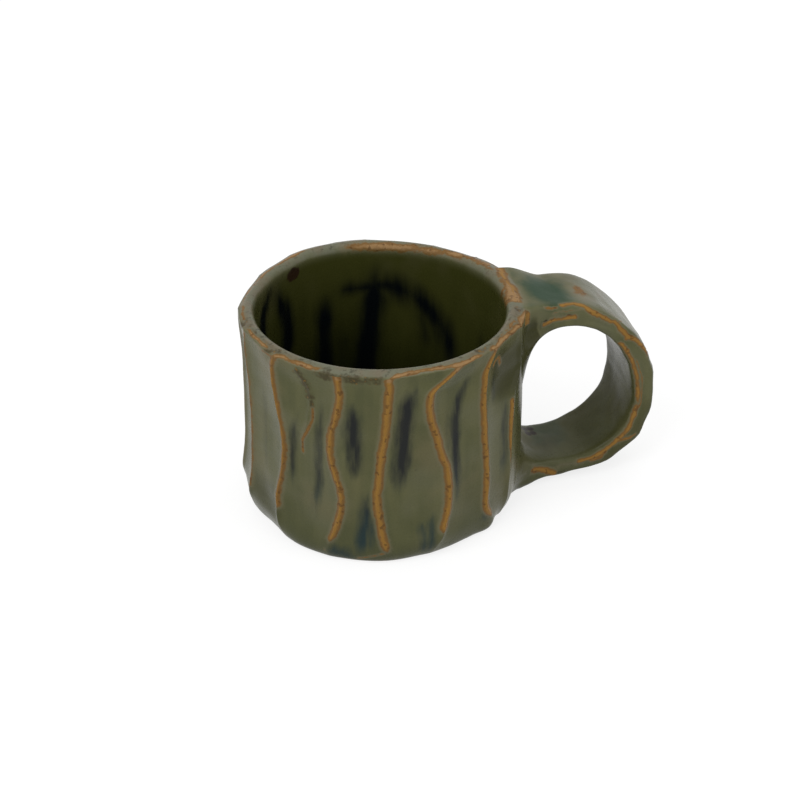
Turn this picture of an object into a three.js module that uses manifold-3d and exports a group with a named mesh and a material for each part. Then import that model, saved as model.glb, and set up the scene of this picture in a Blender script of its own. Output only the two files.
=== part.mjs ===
// Carved stoneware cup with a ring handle, in millimetres.
// +Z is up, the cup stands on z = 0 about the Z axis, and the handle points along +X.
import * as THREE from "three";
import { mergeVertices } from "three/addons/utils/BufferGeometryUtils.js";
import Module from "manifold-3d";

// Cup
const RIM_RADIUS = 42.6;
const CUP_HEIGHT = 67.8;
const WALL_THICKNESS = 4.8;
const BORE_OVAL = 1.1;
const FLOOR_THICKNESS = 6;
const WALL_FLARE = 0.5;
const FOOT_INSET = 3.4;
const FOOT_ROUND_HEIGHT = 8.5;
const LIP_FALL = 0.9;
const LIP_CREST_INSET = 2.6;
const LIP_INNER_FALL = 2.4;
const RIM_WAVE = 0.4;

// Carving
const FLUTE_RADIUS = 60;
const RIB_HEIGHT = 0.35;
const FOOT_CARVING = 0.4;
const LIP_CARVING = 0.45;
const LAND_BULGE = 2;

// Clay joints
const SLIP = 0.3;
const SEAM_COIL = 6;
const UPPER_COIL_DROP = 10;
const UPPER_COIL_REACH = 8;
const LOWER_COIL_REACH = 7.5;
const LOWER_COIL_FOOT = 0.8;
const COIL_FLARE = 2.5;

// Handle
const FINGER_REACH = 37.6;
const BEND_REACH = 23.8;
const BEND_HEIGHT = 30;
const STRAP_WIDTH = 26;
const STRAP_FOOT_WIDTH = 22;
const STRAP_ROOT_FLARE = 3;
const STRAP_TOP_THICKNESS = 7.8;
const STRAP_FOOT_THICKNESS = 4.6;
const STRAP_TOP_DROP = 1.2;
const STRAP_LIFT = 4.2;
const STRAP_EDGE = 0.9;
const FACET_DEPTH = 0.7;
const THUMB_SLOPE = 1.3;

// Mesh steps
const COLUMNS = 6;
const LAND_COLUMNS = 12;
const WALL_ROWS = 15;
const STRAP_STEPS = 54;

// Ridges left between the carved flutes, in order round the cup. Each has its angle in degrees, the degrees it sways
// to either side, a height at which it sways furthest, the length of a full sway, and where needed the degrees it
// hooks sideways at the lip and the height at which it fades out. The last and the first border the handle's land.
const RIDGES = [
  { at: 31, sway: 1.5, crest: 26, wave: 58 },
  { at: 52, sway: 2.2, crest: 40, wave: 46 },
  { at: 74, sway: 1.8, crest: 16, wave: 52, hook: 5 },
  { at: 96, sway: 2.6, crest: 31, wave: 60 },
  { at: 118, sway: 2, crest: 48, wave: 44 },
  { at: 141, sway: 2.4, crest: 22, wave: 56, hook: -6 },
  { at: 163, sway: 1.6, crest: 37, wave: 48 },
  { at: 185.5, sway: 1.7, crest: 36, wave: 70 },
  { at: 209, sway: 2.4, crest: 37, wave: 50 },
  { at: 223, sway: 3, crest: 56, wave: 40, hook: -5, fade: 36 },
  { at: 236.5, sway: 2.3, crest: 23, wave: 37 },
  { at: 256.5, sway: 2.3, crest: 62, wave: 72 },
  { at: 280.6, sway: 4.7, crest: 23, wave: 68, hook: 12 },
  { at: 304.8, sway: 1.6, crest: 20, wave: 62, hook: 5 },
  { at: 326, sway: 7, crest: 40, wave: 66 },
];
const RIDGE_FOOT = 7;
const HOOK_HEIGHT = 9;
const FADE_LENGTH = 12;

// Knuckles where two facets of the strap's outer face meet: the share of its length, and how much thicker it is there
// than an even taper from its upper end to its lower end
const KNUCKLES = [
  { along: 0, swell: 0 },
  { along: 0.2, swell: -1 },
  { along: 0.4, swell: -0.4 },
  { along: 0.47, swell: 0.4 },
  { along: 0.59, swell: 1.1 },
  { along: 0.66, swell: 1.6 },
  { along: 0.75, swell: 1.4 },
  { along: 0.88, swell: 0 },
  { along: 1, swell: 0 },
];

const wasm = await Module();
wasm.setup();

const smooth = THREE.MathUtils.smoothstep;
const lerp = THREE.MathUtils.lerp;
const boreRadius = RIM_RADIUS - WALL_THICKNESS;
const lipEdge = CUP_HEIGHT - LIP_FALL;
const wallFoot = FLOOR_THICKNESS + SLIP;
const turn = 2 * Math.PI;

const glaze = new THREE.MeshStandardMaterial({ color: 0x5a5a44, roughness: 0.25, metalness: 0 });
const darkGlaze = new THREE.MeshStandardMaterial({ color: 0x24240f, roughness: 0.25, metalness: 0 });
const clay = new THREE.MeshStandardMaterial({ color: 0x8a6a4a, roughness: 0.85, metalness: 0 });

// Angle of a ridge at a height
function ridgeAngle(ridge, z) {
  const swing = ridge.sway * Math.cos((turn * (z - ridge.crest)) / ridge.wave);
  const hook = (ridge.hook ?? 0) * smooth(z, CUP_HEIGHT - HOOK_HEIGHT, CUP_HEIGHT);
  return THREE.MathUtils.degToRad(ridge.at + swing + hook);
}

// How fully a ridge stands at a height, from 0 where it has faded into the flute to 1
function ridgeStrength(ridge, z) {
  if (ridge.fade === undefined) {
    return 1;
  }
  return 0.6 * smooth(z, ridge.fade, ridge.fade + FADE_LENGTH);
}

// Columns round the cup, closer together at the ridges
const columns = RIDGES.flatMap((ridge, k) => {
  const count = k === RIDGES.length - 1 ? LAND_COLUMNS : COLUMNS;
  return Array.from({ length: count }, (_, i) => ({ k, u: (1 - Math.cos((Math.PI * i) / count)) / 2 }));
});

// Angle of a column and how far the carving moves it out from the turned radius
function carved({ k, u }, z) {
  const next = (k + 1) % RIDGES.length;
  const from = ridgeAngle(RIDGES[k], z);
  const to = ridgeAngle(RIDGES[next], z) + (next === 0 ? turn : 0);
  const angle = lerp(from, to, u);
  if (next === 0) {
    return { angle, offset: LAND_BULGE * (1 - (2 * u - 1) ** 4) };
  }
  const footShare = lerp(FOOT_CARVING, 1, smooth(z, 0, FOOT_ROUND_HEIGHT));
  const share = footShare * lerp(1, LIP_CARVING, smooth(z, CUP_HEIGHT - HOOK_HEIGHT, CUP_HEIGHT));
  const width = RIM_RADIUS * (to - from);
  const depth = ((width * width) / 8) * (1 / RIM_RADIUS + 1 / FLUTE_RADIUS);
  const a = ridgeStrength(RIDGES[k], z);
  const b = ridgeStrength(RIDGES[next], z);
  const sag = 4 * u * (1 - u) * ((a + b) / 2) + (1 - a) * (1 - u) + (1 - b) * u;
  const rib = u === 0 ? RIB_HEIGHT * a * smooth(z, RIDGE_FOOT, FOOT_ROUND_HEIGHT) : 0;
  return { angle, offset: (rib - depth * sag) * share };
}

// Turned outer radius at a height: flared a little towards the rim, rounded in at the foot
function turnedRadius(z) {
  const flare = WALL_FLARE * (1 - smooth(z, CUP_HEIGHT / 2, CUP_HEIGHT));
  const drop = Math.max(0, 1 - z / FOOT_ROUND_HEIGHT);
  return RIM_RADIUS - flare - FOOT_INSET * (1 - Math.sqrt(1 - Math.min(1, drop) ** 2));
}

// Point of a turned outline: radius, height, share of the carving and share of the bore's oval
function spot(r, z, carve = 0, oval = 0) {
  return { r, z, carve, oval };
}

// Turned body from an outline, with its columns moved onto the ridges and flutes
function turned(outline) {
  const points = outline.map((p) => new THREE.Vector2(p.r, p.z));
  const geometry = new THREE.LatheGeometry(points, columns.length);
  const position = geometry.attributes.position;
  for (let i = 0; i < position.count; i += 1) {
    const p = outline[i % outline.length];
    const column = columns[Math.floor(i / outline.length) % columns.length];
    const { angle, offset } = carved(column, p.z);
    const oval = BORE_OVAL * p.oval * Math.cos(2 * angle + Math.PI / 6);
    const r = p.r + p.carve * offset + oval;
    const wave = RIM_WAVE * Math.sin(3 * angle + Math.PI / 3) * (p.r / RIM_RADIUS);
    const lift = wave * smooth(p.z, CUP_HEIGHT / 2, CUP_HEIGHT);
    position.setXYZ(i, r * Math.cos(angle), r * Math.sin(angle), p.z + lift);
  }
  return geometry;
}

// Closed geometry as a solid, turned inside out where its faces point inwards
function solid(geometry) {
  geometry.deleteAttribute("normal");
  geometry.deleteAttribute("uv");
  const merged = mergeVertices(geometry, 1e-5);
  const triVerts = new Uint32Array(merged.index.array);
  const vertProperties = new Float32Array(merged.attributes.position.array);
  const body = new wasm.Manifold(new wasm.Mesh({ numProp: 3, vertProperties, triVerts }));
  if (body.volume() > 0) {
    return body;
  }
  triVerts.reverse();
  return new wasm.Manifold(new wasm.Mesh({ numProp: 3, vertProperties, triVerts }));
}

function mesh(name, body, material) {
  const { numProp, vertProperties, triVerts } = body.getMesh();
  const geometry = new THREE.BufferGeometry();
  const count = vertProperties.length / numProp;
  const position = new Float32Array(3 * count);
  for (let i = 0; i < count; i += 1) {
    position.set(vertProperties.subarray(i * numProp, i * numProp + 3), 3 * i);
  }
  geometry.setAttribute("position", new THREE.BufferAttribute(position, 3));
  geometry.setIndex(new THREE.BufferAttribute(new Uint32Array(triVerts), 1));
  geometry.computeVertexNormals();
  const part = new THREE.Mesh(geometry, material);
  part.name = name;
  return part;
}

// Outer side of the carved cup from one height to another, widened by a clearance
function outerSide(from, to, rows, clearance = 0) {
  return Array.from({ length: rows + 1 }, (_, i) => {
    const z = lerp(from, to, i / rows);
    return spot(turnedRadius(z) + clearance, z, 1);
  });
}

// Base slab: flat underneath, its edge rounded and carved with the wall
const slab = solid(turned([
  spot(0, 0),
  ...outerSide(0, FLOOR_THICKNESS, 4),
  spot(0, FLOOR_THICKNESS),
]));

// Wall: carved outside, smooth inside, with a lip that falls outwards
const lipRadius = RIM_RADIUS - LIP_CREST_INSET;
const wall = solid(turned([
  spot(boreRadius, wallFoot, 0, 1),
  ...outerSide(wallFoot, FOOT_ROUND_HEIGHT, 2).slice(0, 2),
  ...outerSide(FOOT_ROUND_HEIGHT, lipEdge, WALL_ROWS),
  spot(lerp(RIM_RADIUS, lipRadius, 0.5), CUP_HEIGHT - LIP_FALL / 4, 0.6),
  spot(lipRadius, CUP_HEIGHT, 0.2, 0.5),
  spot(lerp(boreRadius, lipRadius, 0.35), CUP_HEIGHT - LIP_INNER_FALL * 0.3, 0, 1),
  spot(boreRadius, CUP_HEIGHT - LIP_INNER_FALL, 0, 1),
  spot(boreRadius, CUP_HEIGHT / 2, 0, 1),
  spot(boreRadius, wallFoot, 0, 1),
]));

// Seam coil: fills the inside corner with a hollow quarter round
const coilRadius = boreRadius - SLIP;
const coilArc = Array.from({ length: 6 }, (_, i) => {
  const a = lerp(0.06, 0.94, i / 5) * (Math.PI / 2);
  return spot(coilRadius - SEAM_COIL * (1 - Math.sin(a)), wallFoot + SEAM_COIL * (1 - Math.cos(a)), 0, 1);
});
const seamCoil = solid(turned([
  spot(coilArc[0].r, wallFoot, 0, 1),
  spot(coilRadius, wallFoot, 0, 1),
  spot(coilRadius, coilArc[5].z, 0, 1),
  ...coilArc.slice().reverse(),
  spot(coilArc[0].r, wallFoot, 0, 1),
]));

// Everything inside the carved surface, widened by the slip joint, for fitting the handle to the wall
const cupFit = solid(turned([
  spot(0, -FLOOR_THICKNESS),
  spot(turnedRadius(0) + SLIP, -FLOOR_THICKNESS, 1),
  ...outerSide(0, FOOT_ROUND_HEIGHT, 5, SLIP).slice(0, 5),
  ...outerSide(FOOT_ROUND_HEIGHT, lipEdge, WALL_ROWS, SLIP),
  spot(RIM_RADIUS + SLIP, CUP_HEIGHT + FLOOR_THICKNESS, 1),
  spot(0, CUP_HEIGHT + FLOOR_THICKNESS),
]));

// Finger hole's outline: straight out from the wall, round a bend that is widest below its middle, and straight back
const holeTop = CUP_HEIGHT - STRAP_TOP_DROP - STRAP_TOP_THICKNESS;
const holeFoot = STRAP_LIFT + STRAP_FOOT_THICKNESS;
const bendX = RIM_RADIUS + FINGER_REACH - BEND_REACH;
const upperHeight = holeTop - BEND_HEIGHT;
const lowerHeight = BEND_HEIGHT - holeFoot;
const holePath = new THREE.CurvePath();
holePath.add(new THREE.LineCurve(new THREE.Vector2(boreRadius, holeTop), new THREE.Vector2(bendX, holeTop)));
holePath.add(new THREE.EllipseCurve(bendX, BEND_HEIGHT, BEND_REACH, upperHeight, Math.PI / 2, 0, true));
holePath.add(new THREE.EllipseCurve(bendX, BEND_HEIGHT, BEND_REACH, lowerHeight, 0, -Math.PI / 2, true));
holePath.add(new THREE.LineCurve(new THREE.Vector2(bendX, holeFoot), new THREE.Vector2(boreRadius, holeFoot)));

// Thickness of the strap at a share of its length, hollowed between the knuckles
function strapThickness(along) {
  const i = Math.max(1, KNUCKLES.findIndex((knuckle) => knuckle.along >= along));
  const from = KNUCKLES[i - 1];
  const to = KNUCKLES[i];
  const u = (along - from.along) / (to.along - from.along);
  const taper = lerp(STRAP_TOP_THICKNESS, STRAP_FOOT_THICKNESS, along);
  return taper + lerp(from.swell, to.swell, u) - FACET_DEPTH * 4 * u * (1 - u);
}

// Strap: a flat bar of clay bent round the finger hole, flared at both ends and fitted to the wall
const strapLength = holePath.getLength();
const bar = new THREE.BoxGeometry(1, 2, 1, STRAP_STEPS, 6, 2);
bar.translate(0.5, 0, 0.5);
const barPosition = bar.attributes.position;
for (let i = 0; i < barPosition.count; i += 1) {
  const along = barPosition.getX(i);
  const across = barPosition.getY(i);
  const point = holePath.getPointAt(along);
  const tangent = holePath.getTangentAt(along);
  const toEnd = strapLength * Math.min(along, 1 - along) - WALL_THICKNESS;
  const flare = STRAP_ROOT_FLARE * (1 - smooth(toEnd, -WALL_THICKNESS, STRAP_WIDTH / 2));
  const half = lerp(STRAP_WIDTH, STRAP_FOOT_WIDTH, smooth(along, 0, 1)) / 2 + flare;
  const outermost = Math.abs(across) > 0.9;
  const edge = outermost ? STRAP_EDGE : 0;
  const y = outermost ? Math.sign(across) * half : across * 1.5 * (half - STRAP_EDGE);
  const slope = THUMB_SLOPE * (y / half) * smooth(along, 0, 0.1) * (1 - smooth(along, 0.1, 0.25));
  const out = lerp(edge, strapThickness(along) - slope - edge, barPosition.getZ(i));
  barPosition.setXYZ(i, point.x - tangent.y * out, y, point.y + tangent.x * out);
}
const strap = solid(bar).subtract(cupFit);

// Coil in a corner: a wedge with a hollow face, as wide as the strap, flared along the wall and fitted to it
function jointCoil(corner, reach, rise, width) {
  const shape = new THREE.Shape();
  shape.moveTo(corner.x - WALL_THICKNESS, corner.y);
  shape.lineTo(corner.x + reach, corner.y);
  shape.lineTo(corner.x + reach, corner.y + Math.sign(rise) * STRAP_EDGE);
  shape.quadraticCurveTo(
    corner.x + reach * 0.2, corner.y + rise * 0.2, corner.x + STRAP_EDGE, corner.y + rise,
  );
  shape.lineTo(corner.x - WALL_THICKNESS, corner.y + rise);
  const wedge = new THREE.ExtrudeGeometry(shape, {
    depth: width, steps: 1, curveSegments: 8, bevelEnabled: false,
  });
  wedge.rotateX(Math.PI / 2);
  wedge.translate(0, width / 2, 0);
  const position = wedge.attributes.position;
  for (let i = 0; i < position.count; i += 1) {
    const nearWall = 1 - Math.max(0, position.getX(i) - corner.x) / reach;
    position.setY(i, position.getY(i) + Math.sign(position.getY(i)) * COIL_FLARE * nearWall * nearWall);
  }
  return solid(wedge).subtract(cupFit);
}

const wallX = RIM_RADIUS + LAND_BULGE;
const upperCorner = new THREE.Vector2(wallX, holeTop - SLIP);
const upperCoil = jointCoil(upperCorner, UPPER_COIL_REACH, -UPPER_COIL_DROP, STRAP_WIDTH);
const lowerCorner = new THREE.Vector2(wallX, STRAP_LIFT - SLIP);
const lowerCoil = jointCoil(lowerCorner, LOWER_COIL_REACH, LOWER_COIL_FOOT - lowerCorner.y, STRAP_FOOT_WIDTH);

const cup = new THREE.Group();
cup.name = "carved_cup";
cup.add(mesh("base_slab", slab, clay));
cup.add(mesh("cup_wall", wall, glaze));
cup.add(mesh("floor_seam_coil", seamCoil, darkGlaze));
cup.add(mesh("handle_strap", strap, glaze));
cup.add(mesh("upper_joint_coil", upperCoil, glaze));
cup.add(mesh("lower_joint_coil", lowerCoil, glaze));
export default cup;
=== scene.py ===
import math

import bmesh
import bpy
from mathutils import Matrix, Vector, noise


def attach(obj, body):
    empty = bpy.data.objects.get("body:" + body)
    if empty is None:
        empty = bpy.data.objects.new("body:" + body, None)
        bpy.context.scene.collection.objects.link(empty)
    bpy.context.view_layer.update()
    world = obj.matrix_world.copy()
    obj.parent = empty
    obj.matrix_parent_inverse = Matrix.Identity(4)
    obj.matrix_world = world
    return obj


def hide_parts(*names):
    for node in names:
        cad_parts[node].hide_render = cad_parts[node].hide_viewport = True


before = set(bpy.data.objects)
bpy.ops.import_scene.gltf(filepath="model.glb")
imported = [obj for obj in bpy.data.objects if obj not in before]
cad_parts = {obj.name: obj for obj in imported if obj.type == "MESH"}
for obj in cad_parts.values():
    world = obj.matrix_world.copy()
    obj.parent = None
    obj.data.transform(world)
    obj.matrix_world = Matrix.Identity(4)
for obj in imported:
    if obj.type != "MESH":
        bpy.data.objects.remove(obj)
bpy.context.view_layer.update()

# Base slab: the round slab of stoneware clay that the cup stands on, rolled flat and cut to a disc.
# Its underside is left bare so that it doesn't stick to the kiln shelf. Its top is glazed with the inside.
MM = 0.001
FLOOR_THICKNESS = 6.0
SLAB_RADIUS = 37.6
SLAB_EDGE = 0.4
SLAB_RINGS = 12
SLAB_STEPS = 120
GLAZE_STARTS = 2.0
GLAZE_COVERS = 4.0
GLAZE_SHEEN = 0.1
CLAY = (0.30, 0.185, 0.10, 1)
CLAY_DARK = (0.17, 0.095, 0.05, 1)
IRON_SPOT = (0.02, 0.012, 0.008, 1)
LINER = (0.038, 0.040, 0.0085, 1)
LINER_SHADED = (0.018, 0.020, 0.004, 1)
LINER_PALE = (0.058, 0.056, 0.022, 1)
LINER_RUN = (0.0022, 0.0034, 0.0042, 1)


class Glaze:
    """A shader value for use in Python expressions, with the node tree that it belongs to."""

    def __init__(self, tree, socket=None):
        self.tree = tree
        self.socket = socket

    def node(self, kind, settings=None, sockets=None, output=0):
        made = self.tree.nodes.new(kind)
        for name, value in (settings or {}).items():
            setattr(made, name, value)
        for key, value in (sockets or {}).items():
            if isinstance(value, Glaze):
                self.tree.links.new(value.socket, made.inputs[key])
            else:
                made.inputs[key].default_value = value
        return Glaze(self.tree, made.outputs[output])

    def math(self, operation, *values):
        return self.node("ShaderNodeMath", {"operation": operation}, dict(enumerate(values)))

    def __add__(self, other):
        return self.math("ADD", self, other)

    def __sub__(self, other):
        return self.math("SUBTRACT", self, other)

    def __rsub__(self, other):
        return self.math("SUBTRACT", other, self)

    def __mul__(self, other):
        return self.math("MULTIPLY", self, other)

    __radd__ = __add__
    __rmul__ = __mul__

    def step(self, low, high):
        limits = {"Value": self, "From Min": low, "From Max": high}
        return self.node("ShaderNodeMapRange", {"interpolation_type": "SMOOTHSTEP"}, limits)

    def mix(self, under, over):
        return self.node("ShaderNodeMix", {"data_type": "RGBA"}, {0: self, 6: under, 7: over}, 2)

    def grain(self, place, scale, detail=2.0):
        sockets = {"Vector": place, "Scale": scale, "Detail": detail}
        return self.node("ShaderNodeTexNoise", None, sockets)

    def place(self):
        return self.node("ShaderNodeTexCoord", output="Object")

    def height(self):
        return self.node("ShaderNodeSeparateXYZ", None, {0: self}, 2)

    def painted(self, layer):
        return self.node("ShaderNodeAttribute", {"attribute_name": layer}, output="Fac")


def new_finish(name, sheen):
    """A plain material, its starting Glaze value and its surface shader."""
    finish = bpy.data.materials.new(name)
    finish.use_nodes = True
    surface = finish.node_tree.nodes["Principled BSDF"]
    surface.inputs["Specular IOR Level"].default_value = sheen
    return finish, Glaze(finish.node_tree), surface


def coat(surface, colour, roughness, height, depth):
    """Feeds a surface shader with a colour, a roughness and a relief of a depth in millimetres."""
    relief = height.node("ShaderNodeBump", None, {"Strength": 1.0, "Distance": depth * MM, "Height": height})
    links = surface.id_data.links
    links.new(colour.socket, surface.inputs["Base Color"])
    links.new(roughness.socket, surface.inputs["Roughness"])
    links.new(relief.socket, surface.inputs["Normal"])


def liner(start, run):
    """Colour of the dark glaze inside the cup, darker towards the bottom with painted shade, paler near the
    lip and blue black where it has run.
    """
    place = start.place()
    height = place.height()
    cloud = start.grain(place, 70.0, 2.0)
    hanging = start.node("ShaderNodeMapping", None, {"Vector": place, "Scale": (1.0, 1.0, 0.2)})
    drips = start.grain(hanging, 150.0, 3.0)
    # Painted shade: the glaze darkens towards the bottom of the cup
    shade = (height + (cloud - 0.5) * 0.03 + (drips - 0.5) * 0.04).step(0.010, 0.062)
    olive = shade.mix(LINER_SHADED, LINER)
    olive = (cloud.step(0.40, 0.70) * height.step(0.044, 0.066) * 0.7).mix(olive, LINER_PALE)
    return run.mix(olive, LINER_RUN)


def fire(bm, name, finish, slot, *nodes):
    """Makes a finished piece of a mesh in millimetres."""
    bmesh.ops.remove_doubles(bm, verts=bm.verts, dist=1e-4)
    bmesh.ops.recalc_face_normals(bm, faces=bm.faces)
    bmesh.ops.scale(bm, vec=(MM, MM, MM), verts=bm.verts)
    mesh = bpy.data.meshes.new(name)
    bm.to_mesh(mesh)
    bm.free()
    mesh.shade_smooth()
    mesh.materials.append(finish)
    piece = bpy.data.objects.new(name, mesh)
    bpy.context.scene.collection.objects.link(piece)
    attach(piece, "root")
    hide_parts(*nodes)
    return piece


def turn(bm, outline, steps):
    """Spins an outline of radius and height round the cup's axis."""
    spots = [bm.verts.new((radius, 0, z)) for radius, z in outline]
    for a, b in zip(spots, spots[1:]):
        bm.edges.new((a, b))
    bmesh.ops.spin(
        bm, geom=bm.verts[:] + bm.edges[:], axis=(0, 0, 1), cent=(0, 0, 0),
        angle=2 * math.pi, steps=steps, use_merge=True,
    )


slab = bmesh.new()
rings = [(SLAB_RADIUS - SLAB_EDGE) * ring / SLAB_RINGS for ring in range(SLAB_RINGS + 1)]
turn(
    slab,
    [(r, 0) for r in rings]
    + [(SLAB_RADIUS, SLAB_EDGE), (SLAB_RADIUS, FLOOR_THICKNESS - SLAB_EDGE)]
    + [(r, FLOOR_THICKNESS) for r in reversed(rings)],
    SLAB_STEPS,
)
clay, start, surface = new_finish("bare_clay_and_liner", GLAZE_SHEEN)
place = start.place()
height = place.height()
sand = start.grain(place, 1400.0, 4.0)
patches = start.grain(place, 90.0, 3.0)
spots = start.node("ShaderNodeTexVoronoi", None, {"Vector": place, "Scale": 420.0})
spotted = 1 - spots.step(0.10, 0.22)
bare = (patches * 0.6 + sand * 0.4).step(0.35, 0.65).mix(CLAY_DARK, CLAY)
glazed = height.step(GLAZE_STARTS * MM, GLAZE_COVERS * MM)
coat(
    surface,
    glazed.mix((spotted * 0.8).mix(bare, IRON_SPOT), liner(start, patches.step(0.5, 0.65))),
    (1 - glazed) * (0.62 + sand * 0.3) + glazed * 0.26,
    sand * (1 - glazed),
    0.25,
)
fire(slab, "base", clay, "base_clay", "base_slab")

# Cup wall: an open cylinder of clay, thrown smooth inside and carved outside with a loop tool while it is
# leather hard. The tool left hollow flutes with wavy ridges between them, and the glaze runs thin and rust
# brown on every edge.
RIM_RADIUS = 42.6
CUP_HEIGHT = 67.8
BORE_RADIUS = 37.8
BORE_OVAL = 0.7
BORE_SHIFT = 0.4
BORE_END = 3.0
BORE_END_INSET = 1.0
WALL_FLARE = 0.5
FOOT_INSET = 3.4
FOOT_ROUND_HEIGHT = 8.5
FOOT_LAP = 1.2
FOOT_CHAMFER = 0.5
FOOT_CHAMFER_HEIGHT = 0.15
LIP_FALL = 0.9
LIP_CREST_INSET = 2.6
LIP_INNER_FALL = 2.4
LIP_ROUND = 0.6
LIP_ROUND_HEIGHT = 0.5
CREST_CARVING = 0.2
CREST_OVAL = 0.5
FLUTE_RADIUS = 60.0
RIB_HEIGHT = 0.48
RIB_HALF_WIDTH = 0.95
RUST_REACH = 3.0
FOOT_CARVING = 0.12
LIP_CARVING = 0.15
LAND_BULGE = 2.3
FADED_DEPTH = 2.0
FOOT_SWELL = 0.9
LIP_SWELL = 0.4
LAND_TAPER = 1.2
HOOK_HEIGHT = 9.0
TOE_HEIGHT = 13.0
FADE_LENGTH = 12.0
KINK = 0.6
UNEVEN = 0.2
COLUMNS = 26
LAND_COLUMNS = 52
COLUMN_BUNCHING = 0.55
FOOT_ROWS = 12
WALL_ROWS = 104
LIP_ROUND_ROWS = 6
LIP_SLOPE_ROWS = 8
LIP_ROLL_ROWS = 10
BORE_ROWS = 48

# Each ridge: the angle it stands at, the degrees it sways, a height where the sway crests and the length of
# its wave. It is bare of glaze, by the share given, from its foot up to its top. Some hook near the lip, from
# the height where they bend, or turn their toe, in degrees. Some rise from the wall, and one fades out
# downwards. The last and the first border the plain land that carries the handle.
RIDGES = [
    dict(at=31, sway=1.5, crest=26, wave=58, foot=8, bare=0.9, rise=0.8),
    dict(at=52, sway=2.2, crest=40, wave=46, foot=7, bare=1.0, toe=2),
    dict(at=74, sway=1.8, crest=16, wave=52, foot=9, bare=1.0, hook=5),
    dict(at=96, sway=2.6, crest=31, wave=60, foot=6, bare=1.1),
    dict(at=118, sway=2.0, crest=48, wave=44, foot=10, bare=0.9, toe=-3),
    dict(at=141, sway=2.4, crest=22, wave=56, foot=8, bare=1.0, hook=-6),
    dict(at=163.5, sway=2.6, crest=13, wave=62, foot=7, bare=0.52),
    dict(at=185.5, sway=1.7, crest=36, wave=70, foot=10, bare=0.64, toe=-3),
    dict(at=209, sway=2.4, crest=37, wave=50, foot=12, bare=0.84),
    dict(at=223, sway=3.0, crest=56, wave=40, foot=35, bare=0.34, hook=-5, fade=36, top=51),
    dict(at=236.5, sway=2.3, crest=23, wave=37, foot=7, bare=0.95, toe=-2.5),
    dict(at=256.5, sway=2.3, crest=62, wave=72, foot=5, bare=1.03, toe=1),
    dict(at=280.6, sway=4.7, crest=23, wave=68, foot=9, bare=1.02, hook=12),
    dict(at=304.8, sway=1.6, crest=20, wave=62, foot=6, bare=1.1, hook=5, toe=10),
    dict(at=322, sway=1.0, crest=44, wave=46, foot=20, bare=0.2, top=46, rise=1.6, hook=9, bend=45),
]

# How far the hand-worked lip stands above its turned height, by angle
LIP_WAVES = [
    (0, 0.5), (25, 0.5), (45, 0.45), (70, 0.55), (90, 0.95), (110, 1.2), (128, 0.4), (143, -0.1), (157, 0.3),
    (172, 0.8), (200, 0.9), (230, 0.95), (260, 1.0), (290, 0.8), (320, 0.55), (340, 0.5), (360, 0.5),
]

# Where the foot is pared away by hand: degrees from and to, the soft border and the depth.
# A depth below zero is clay that the tool left standing at a ridge's toe.
PARED = [(264, 303, 11, 1.1), (308, 315, 5, -1.2), (321, 329, 5, 0.6), (332, 348, 6, 0.9), (187, 208, 9, 1.5)]

# Arcs in degrees and bands of height where the wall swells or tapers: from, to and the soft border
FOOT_SWELL_ARC = (158, 190, 12)
FOOT_SWELL_BAND = (7, 14, 5)
LIP_SWELL_ARC = (158, 186, 12)
LAND_TAPER_ARC = (314, 346, 8)

# Painted shade round the handle's joints, inside its ring and low on the left flutes: strength, arc and band
PAINTED_SHADE_PLACES = [
    (1.0, (311, 350, 7), (46, 62, 8)),
    (0.55, (326, 384, 5), (12, 60, 10)),
    (0.5, (184, 208, 6), (4, 20, 6)),
]

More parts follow.
